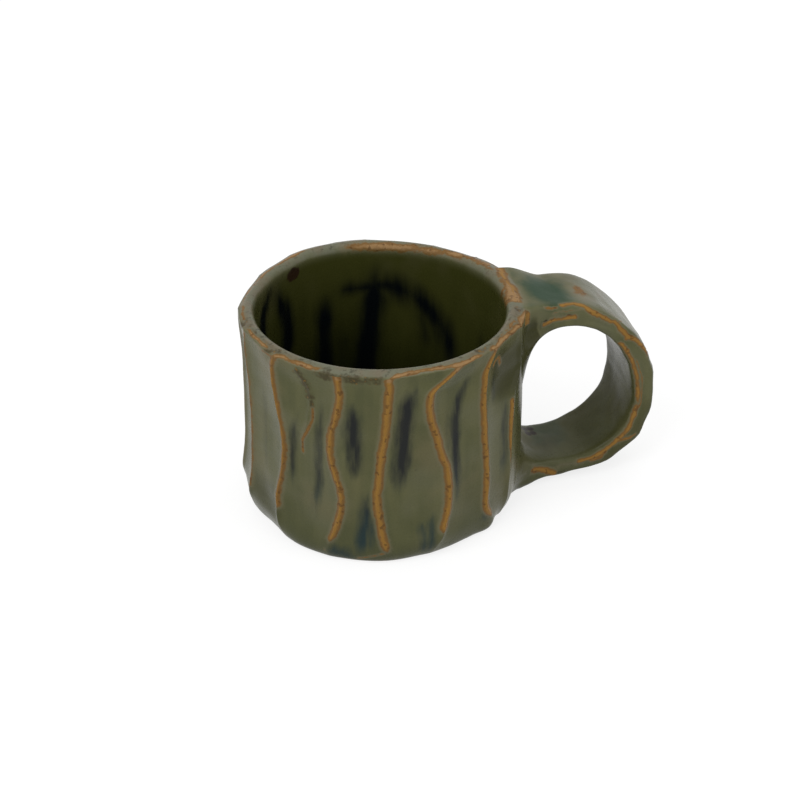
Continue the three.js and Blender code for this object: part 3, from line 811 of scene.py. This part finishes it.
# Bare lines on the strap's flanks: half width, strength, and points by share of its length and thickness
FLANK_RUST = [
    (0.3, 0.75, [(0.03, 0.94), (0.05, 0.9), (0.07, 0.89), (0.09, 0.92)]),
    (0.75, 1.1, [(0.085, 0.96), (0.107, 1.08), (0.132, 1.12), (0.155, 1.02), (0.179, 0.8), (0.2, 0.72)]),
    (0.68, 1.1, [(0.165, 0.92), (0.18, 0.8), (0.211, 0.71), (0.245, 0.74), (0.262, 0.84), (0.288, 0.7),
                 (0.324, 0.66), (0.349, 0.84), (0.377, 0.92), (0.409, 0.95), (0.43, 0.84)]),
    (0.35, 0.8, [(0.255, 0.8), (0.266, 0.92), (0.277, 1.08), (0.285, 1.2)]),
    (0.8, 0.95, [(0.34, 0.8), (0.355, 0.87), (0.37, 0.92)]),
    (0.6, 1.0, [(0.03, 0.33), (0.045, 0.34), (0.066, 0.46), (0.1, 0.5), (0.127, 0.53), (0.15, 0.55)]),
    (0.3, 0.65, [(0.06, 0.66), (0.09, 0.74), (0.13, 0.8), (0.16, 0.8)]),
    (0.72, 1.0, [(0.31, 0.12), (0.325, 0.18), (0.347, 0.24), (0.387, 0.24), (0.431, 0.22), (0.478, 0.22),
                 (0.531, 0.24), (0.59, 0.26)]),
    (0.85, 1.0, [(0.56, 0.24), (0.6, 0.25), (0.635, 0.26), (0.665, 0.28), (0.7, 0.3), (0.735, 0.34)]),
    (0.4, 0.85, [(0.4, 0.42), (0.44, 0.44), (0.5, 0.48), (0.55, 0.42), (0.6, 0.36)]),
    (0.35, 0.85, [(0.65, 0.76), (0.672, 0.62), (0.692, 0.5), (0.722, 0.38)]),
    (0.8, 1.0, [(0.69, 0.47), (0.722, 0.34), (0.76, 0.35), (0.786, 0.4), (0.815, 0.32), (0.84, 0.36)]),
    (0.55, 0.8, [(0.735, 0.4), (0.769, 0.58), (0.803, 0.5)]),
    (1.2, 0.45, [(0.78, 0.46), (0.834, 0.4), (0.88, 0.4), (0.9, 0.5)]),
    (1.25, 1.05, [(0.89, 0.9), (0.914, 0.72), (0.952, 0.52), (0.985, 0.4), (1.0, 0.36)]),
]
# Dark cracks in the strap's flanks, in the same measure
FLANK_CRACKS = [
    (0.35, 0.9, [(0.03, 0.46), (0.042, 0.5), (0.056, 0.53)]),
    (0.25, 0.7, [(0.028, 0.0), (0.028, 0.3), (0.03, 0.7)]),
    (0.3, 0.7, [(0.105, 0.6), (0.12, 0.62), (0.137, 0.63)]),
    (0.3, 0.6, [(0.765, 0.7), (0.79, 0.62), (0.81, 0.62)]),
    (0.35, 0.8, [(0.86, 0.72), (0.88, 0.76), (0.9, 0.8)]),
]
# Dark pits in the ring's floor, in millimetres out from the cup's axis and across
PITS = [(49.0, 8.4), (50.4, 7.0), (52.5, 7.6), (50.8, 4.5), (52.7, 5.1)]
PIT_RADIUS = 1.3

hole_top = CUP_HEIGHT - STRAP_TOP_DROP - STRAP_TOP_THICKNESS
hole_foot = STRAP_LIFT + STRAP_FOOT_THICKNESS
bend_x = RIM_RADIUS + FINGER_REACH - BEND_REACH
root_x = RIM_RADIUS + LAND_BULGE
route = [(root_x - SUNK, hole_top), (root_x, hole_top)]
for step in range(HALF_TURN + 1):
    bend = math.radians(HALF_TURN / 2 - step)
    reach = (hole_top if step < HALF_TURN / 2 else 2 * BEND_HEIGHT - hole_foot) - BEND_HEIGHT
    route += [(bend_x + BEND_REACH * math.cos(bend), BEND_HEIGHT + reach * math.sin(bend))]
route += [(root_x, hole_foot), (root_x - SUNK, hole_foot)]
lengths = [0]
for a, b in zip(route, route[1:]):
    lengths += [lengths[-1] + math.dist(a, b)]


def along_route(length):
    """Point and direction of the finger hole's edge at a length from its start."""
    end = next((i for i, reached in enumerate(lengths) if reached >= length and i > 0), len(lengths) - 1)
    share = (length - lengths[end - 1]) / (lengths[end] - lengths[end - 1])
    (x, z), (x2, z2) = route[end - 1], route[end]
    span = math.hypot(x2 - x, z2 - z)
    return lerp(x, x2, share), lerp(z, z2, share), (x2 - x) / span, (z2 - z) / span


def knuckled(share):
    """Thickness of the strap at a share of its free length, hollowed between its knuckles."""
    share = min(1.0, max(0.0, share))
    end = next(i for i, (at, _) in enumerate(KNUCKLES) if at >= share and i > 0)
    (at, swell), (at2, swell2) = KNUCKLES[end - 1], KNUCKLES[end]
    part = (share - at) / (at2 - at)
    taper = lerp(STRAP_TOP_THICKNESS, STRAP_FOOT_THICKNESS, share)
    return taper + lerp(swell, swell2, part) - FACET_DEPTH * 4 * part * (1 - part)


def land_x(y, z):
    """Distance from the cup's axis plane to the handle's land at a place across and up."""
    z = min(lip_edge, max(0.3, z))
    radius = turned_radius(z)
    low = ridge_angle(len(RIDGES) - 1, z) - 2 * math.pi
    share = (math.asin(max(-0.9, min(0.9, y / (radius + LAND_BULGE)))) - low) / (ridge_angle(0, z) - low)
    border = min(1.0, (2 * share - 1) ** 4)
    radius += lerp(LAND_BULGE, lerp(RIDGES[-1]["rise"], RIDGES[0]["rise"], share), border)
    radius += hand_shaped(math.degrees(math.asin(max(-0.9, min(0.9, y / radius)))) % 360, z)
    return math.sqrt(max(1.0, radius * radius - y * y))


def lip_top(x, y):
    """Height of the lip's sloping top at a place near the handle."""
    outer = RIM_RADIUS - LIP_ROUND + LAND_BULGE
    crest = crest_radius + CREST_CARVING * LAND_BULGE
    share = min(1.0, max(0.0, (outer - math.hypot(x, y)) / (outer - crest)))
    return lerp(lip_edge, CUP_HEIGHT, math.sin(math.pi / 2 * share)) + lip_lift(math.atan2(y, x), CUP_HEIGHT)


def smoothed_onto_wall(px, y, pz, push, heading, across, share):
    """Where a point of the strap goes when its joint is smoothed onto the wall, and how far it is bent."""
    spread = UPPER_SPREAD if share < 0.5 else LOWER_SPREAD
    flank = spread["near" if across < 0 else "far"]
    face = spread["outer" if push.y > 0 else "inner"]
    off = flank[0] * push.x ** 2 + face[0] * push.y ** 2
    on = flank[1] * push.x ** 2 + face[1] * push.y ** 2
    depth = px - land_x(y, pz)
    bend = min(1.0, max(0.0, (off - depth) / (2 * off)))
    joined = Vector((px, y, pz))
    if bend > 0 and not 0.35 < share < 0.65:
        joined.y += push.x * on * bend * bend
        joined.z += heading * push.y * on * bend * bend
        joined.x = land_x(joined.y, joined.z) + off * (1 - bend) ** 2 - JOINT_SINK * smooth(bend, 0.8, 1)
    if share < 0.2 and push.y > 0:
        lipped = Vector((px, y, pz))
        reach = math.hypot(px, y)
        near_lip = smooth(root_x + LIP_BLEND - reach, 0, LIP_BLEND)
        lipped.z = lerp(pz, lip_top(px, y) + LIP_COVER, near_lip)
        lipped.z -= ROOT_FALL * max(0.0, crest_radius + ROOT_MARGIN - reach)
        lipped.x = max(px, math.sqrt((BORE_RADIUS + ROOT_MARGIN) ** 2 - y * y))
        joined = joined.lerp(lipped, smooth(push.y, 0.35, 0.95))
    return joined, bend


# The strap's section, a rectangle with soft corners: evenly spaced shares of half its width and thickness
rounded = []
samples = SECTION_SAMPLES * STRAP_POINTS
for number in range(samples + 1):
    turned = 2 * math.pi * number / samples
    rounded += [tuple(
        math.copysign(abs(part) ** (2 / SQUARENESS), part) for part in (math.cos(turned), math.sin(turned))
    )]
girth = [0]
for (x, z), (x2, z2) in zip(rounded, rounded[1:]):
    girth += [girth[-1] + math.hypot((x2 - x) * STRAP_WIDTH, (z2 - z) * STRAP_TOP_THICKNESS)]
section = []
spacing = girth[-1] / 2 / STRAP_POINTS / STRAP_TOP_THICKNESS
for spot, reached in zip(rounded, girth):
    if reached >= girth[-1] * len(section) / STRAP_POINTS and len(section) < STRAP_POINTS:
        section += [spot]

strap = bmesh.new()
place_layer = strap.verts.layers.int.new("place")
along_layer = strap.verts.layers.float.new("along")
ring = bmesh.ops.create_circle(strap, segments=STRAP_POINTS, radius=1)["verts"]
for number, vert in enumerate(ring):
    vert[place_layer] = number
edges = strap.edges[:]
for step in range(1, STRAP_STEPS + 1):
    drawn_out = bmesh.ops.extrude_edge_only(strap, edges=edges)["geom"]
    fresh = {item for item in drawn_out if isinstance(item, bmesh.types.BMVert)}
    for vert in fresh:
        vert[along_layer] = step / STRAP_STEPS
    edges = [
        item for item in drawn_out
        if isinstance(item, bmesh.types.BMEdge) and fresh.issuperset(item.verts)
    ]

layers = {name: strap.verts.layers.float.new(name) for name in LAYERS}
free_length = lengths[-1] - 2 * SUNK
flank_rust = strokes(FLANK_RUST, free_length, FLANK_HEIGHT)
flank_cracks = strokes(FLANK_CRACKS, free_length, FLANK_HEIGHT)
for vert in strap.verts:
    length = vert[along_layer] * lengths[-1]
    share = (length - SUNK) / free_length
    x, z, run_x, run_z = along_route(length)
    across, out = section[vert[place_layer]]
    half = lerp(STRAP_WIDTH, STRAP_FOOT_WIDTH, smooth(share, 0, 1)) / 2
    flare = (FAR_FLARE if across > 0 else NEAR_FLARE) * (1 - smooth(length - SUNK, -2, FLARE_LENGTH))
    half += flare * smooth(out, -1, 0.5)
    skew = share + SKEW * across
    thick = (knuckled(skew - SKEW) + 2 * knuckled(skew) + knuckled(skew + SKEW)) / 4
    push = Vector((
        abs(across) ** (SQUARENESS - 1) * math.copysign(1, across) / half,
        abs(out) ** (SQUARENESS - 1) * math.copysign(2, out) / thick,
    )).normalized()
    uneven = 0.30 * ripple(length * 0.12, across * 1.2 + out * 2.1, 80)
    uneven += 0.12 * ripple(length * 0.3, across * 3 + out * 4, 81)
    lifted = (out + 1) / 2
    y = across * half + push.x * uneven
    away = thick * lifted + push.y * uneven
    slope = THUMB_SLOPE * (across - 0.25 * across ** 2) * lifted
    away -= slope * smooth(share, -0.1, 0.1) * (1 - smooth(share, 0.1, 0.25))
    away -= TWIST * across * window(share, 0.5, 0.85, 0.12)
    away -= INNER_SWELL * (1 - lifted) * (1 - smooth(share, 0.5, 0.7))
    px, pz = x - run_z * away, z + run_x * away
    dented = math.exp(-(((px - THUMB_AT[0]) / THUMB_LENGTH) ** 2 + ((y - THUMB_AT[1]) / THUMB_WIDTH) ** 2))
    dented *= smooth(out, 0.3, 0.9) * smooth(pz, 40, 55)
    pz -= THUMB_DENT * dented
    pz += FOOT_LIFT * smooth(share, 0.88, 1.0) * smooth(-out, 0.3, 0.9) * smooth(across, -0.4, 0.6)
    joined, bend = smoothed_onto_wall(px, y, pz, push, run_x, across, share)
    vert.co = (joined.x, joined.y, max(STRAP_CLEARANCE, joined.z))

    # Its glaze: rust and cracks on the flanks, rust on the root and a knuckle, teal in the dent and on the
    # ring's floor, and painted shade round the joints, on the near flank by the root and on the ring's inner
    # face
    number = vert[place_layer]
    middle = STRAP_POINTS / 2
    level = 0.5 + spacing * (middle - number if across < 0 else (number + middle) % STRAP_POINTS - middle)
    wobble = 0.3 * ripple(length * 0.22, 0 if across < 0 else 9, 82)
    wobble += 0.35 * ripple(length * 0.9, level * 3, 83)
    rust = brushed(share * free_length, level * FLANK_HEIGHT + wobble, flank_rust, 0.12)
    rust *= 1.0 + 0.25 * ripple(length * 0.35, level * 3, 84)
    if across > 0:
        rust *= 0.75 * (1 - smooth(level, 0.9, 1.0))
    if share < 0.5:
        rust *= 1 - smooth(bend, 0.6, 0.9) * (1 - smooth(push.y, 0.0, 0.4))
    knuckle = window(share, 0.15, 0.20, 0.03) * smooth(out, 0.8, 1) * window(across, -0.5, 0.3, 0.3)
    reach = math.hypot(joined.x, joined.y)
    if share < 0.15 and out > 0:
        turned = math.degrees(math.atan2(joined.y, joined.x)) * mm_per_degree
        rust = max(rust, brushed(turned, RIM_RADIUS - reach + wobble, root_rust, 0.12))
    vert[layers["thin"]] = max(rust, 0.68 * knuckle)
    pooled = 0.4 * window(joined.x, 50, 63, 3) * window(joined.y, -4, 12, 4) * window(share, 0.75, 1.1, 0.05)
    saddle = max(dented ** 0.6, 0.3 * window(share, -0.02, 0.08, 0.03) * smooth(out, 0.6, 0.95))
    inner_face = smooth(-out, 0.5, 0.95)
    vert[layers["teal"]] = saddle if out > 0 else pooled * inner_face
    vert[layers["frayed"]] = max(0.08, 0.4 * knuckle)
    if out < -0.5 and share > 0.8:
        near = min(math.hypot(joined.x - at, joined.y - over) for at, over in PITS)
        vert[layers["speck"]] = max(0.0, 1.5 - near / PIT_RADIUS)
    elif across < 0:
        vert[layers["speck"]] = brushed(share * free_length, level * FLANK_HEIGHT + wobble, flank_cracks, 0.3)
    vert[layers["pool"]] = 0.12 * window(share, 0.82, 0.97, 0.06) * inner_face * smooth(across, -0.9, 0.2)
    root_lip = smooth(RIM_RADIUS + 3 - reach, 0, 3) * smooth(push.y, 0.3, 0.8) if share < 0.2 else 0
    pale_face = 0.65 * smooth(out, 0.8, 1) * window(share, 0.15, 0.5, 0.05)
    vert[layers["lip"]] = max(root_lip, pale_face, 1.6 * pooled * inner_face)
    # Painted shade round the joints, on the near flank by the root and on the ring's inner face, blending
    # into the wall's painted shade
    shaded = smooth(bend, 0.35, 0.9) * (1 - smooth(push.y, -0.2, 0.5))
    web = (1 - smooth(share * free_length, 0.8, 2.6)) * (1 - smooth(level, 0.3, 0.85)) if across < 0 else 0
    shaded *= lerp(0.6, 1, smooth(joined.z, 40, 50)) if across < 0 and share < 0.5 else 0.6
    shaded *= 1 - 2 * pooled
    flank_shade = 0.45 * window(share, 0.55, 0.78, 0.05) * window(level, 0.45, 1.0, 0.15) if across < 0 else 0
    darkest = max(web, shaded, flank_shade, 0.45 * inner_face * window(share, 0.3, 0.85, 0.1))
    beside = wall_painted_shade(math.degrees(math.atan2(joined.y, joined.x)) % 360, joined.z)
    vert[layers["shade_paint"]] = lerp(darkest, beside, smooth(bend, 0.6, 0.95) * (1 - smooth(push.y, 0.3, 0.8)))
bmesh.ops.holes_fill(strap, edges=[edge for edge in strap.edges if edge.is_boundary], sides=0)
fire(strap, "handle", glaze, "outer_glaze", "handle_strap", "upper_joint_coil", "lower_joint_coil")

# Studio, in metres: a pale floor, a white surround and three soft lamps, with the camera where the photograph
# was taken from. The camera sees floor and surround as white, and a dimmer surround lights the cup.
AIM = (0.0, 0.0, 0.033)
AZIMUTH = math.radians(-15)
ELEVATION = math.radians(32.26)
CAMERA_DISTANCE = 0.8
CAMERA_LENS = 115.4
CAMERA_RIGHT = 0.00643
CAMERA_UP = 0.00053
FLOOR_SIZE = 4.0
FLOOR_ROUGHNESS = 0.9
FLOOR_GLOW = 0.78
SURROUND_LIGHT = 0.56
SENSOR_WIDTH = 36.0
NEAREST_SHOWN = 0.05
FLOOR_GREY = (0.62, 0.62, 0.61, 1)
FLOOR_SHADOW = (0.26, 0.26, 0.26, 1)
WHITE = (1, 1, 1, 1)
# Each lamp: its name, place, size and power
LAMPS = [
    ("key_lamp", (-0.75, -0.55, 0.95), 0.8, 8.5),
    ("fill_lamp", (0.8, -0.75, 0.5), 0.8, 3.2),
    ("top_lamp", (0.15, 0.25, 1.3), 1.0, 4.0),
]


def background_ray(start):
    """1 for the rays that should meet a white surround: the camera's, and those mirrored or let through."""
    kinds = ("Camera", "Glossy", "Transmission")
    seen, mirrored, passed = (start.node("ShaderNodeLightPath", output=f"Is {kind} Ray") for kind in kinds)
    return seen.math("MAXIMUM", seen, seen.math("MAXIMUM", mirrored, passed))


floor = bmesh.new()
bmesh.ops.create_grid(floor, x_segments=1, y_segments=1, size=FLOOR_SIZE / 2)
floor_mesh = bpy.data.meshes.new("floor")
floor.to_mesh(floor_mesh)
floor.free()
floor_piece = bpy.data.objects.new("floor", floor_mesh)
bpy.context.scene.collection.objects.link(floor_piece)
pale, start, surface = new_finish("pale_floor", 0.0)
surface.inputs["Base Color"].default_value = FLOOR_GREY
surface.inputs["Roughness"].default_value = FLOOR_ROUGHNESS
lit = start.node("ShaderNodeEmission", None, {"Color": WHITE, "Strength": FLOOR_GLOW})
shadowed = start.node("ShaderNodeBsdfDiffuse", None, {"Color": FLOOR_SHADOW})
bright = start.node("ShaderNodeAddShader", None, {0: lit, 1: shadowed})
plain = Glaze(start.tree, surface.outputs[0])
shown = start.node("ShaderNodeMixShader", None, {0: background_ray(start), 1: plain, 2: bright})
start.tree.links.new(shown.socket, start.tree.nodes["Material Output"].inputs["Surface"])
floor_mesh.materials.append(pale)

world = bpy.data.worlds.new("studio")
bpy.context.scene.world = world
world.use_nodes = True
start = Glaze(world.node_tree)
shade = start.node("ShaderNodeBackground", None, {"Color": WHITE, "Strength": SURROUND_LIGHT})
white = start.node("ShaderNodeBackground", None, {"Color": WHITE, "Strength": 1.0})
both = start.node("ShaderNodeMixShader", None, {0: background_ray(start), 1: shade, 2: white})
world.node_tree.links.new(both.socket, world.node_tree.nodes["World Output"].inputs["Surface"])

for name, spot, size, power in LAMPS:
    lamp = bpy.data.lights.new(name, "AREA")
    lamp.size = size
    lamp.energy = power
    stand = bpy.data.objects.new(name, lamp)
    stand.location = spot
    stand.rotation_euler = (Vector(AIM) - Vector(spot)).to_track_quat("-Z", "Y").to_euler()
    bpy.context.scene.collection.objects.link(stand)

back = Vector((
    math.sin(AZIMUTH) * math.cos(ELEVATION), -math.cos(AZIMUTH) * math.cos(ELEVATION), math.sin(ELEVATION),
))
right = Vector((math.cos(AZIMUTH), math.sin(AZIMUTH), 0))
up = back.cross(right)
camera = bpy.data.objects.new("camera", bpy.data.cameras.new("camera"))
camera.data.lens = CAMERA_LENS
camera.data.sensor_width = SENSOR_WIDTH
camera.data.clip_start = NEAREST_SHOWN
camera.location = Vector(AIM) + back * CAMERA_DISTANCE
target = Vector(AIM) + right * CAMERA_RIGHT + up * CAMERA_UP
camera.rotation_euler = (target - camera.location).to_track_quat("-Z", "Y").to_euler()
bpy.context.scene.collection.objects.link(camera)
bpy.context.scene.camera = camera
bpy.context.scene.view_settings.view_transform = "Standard"
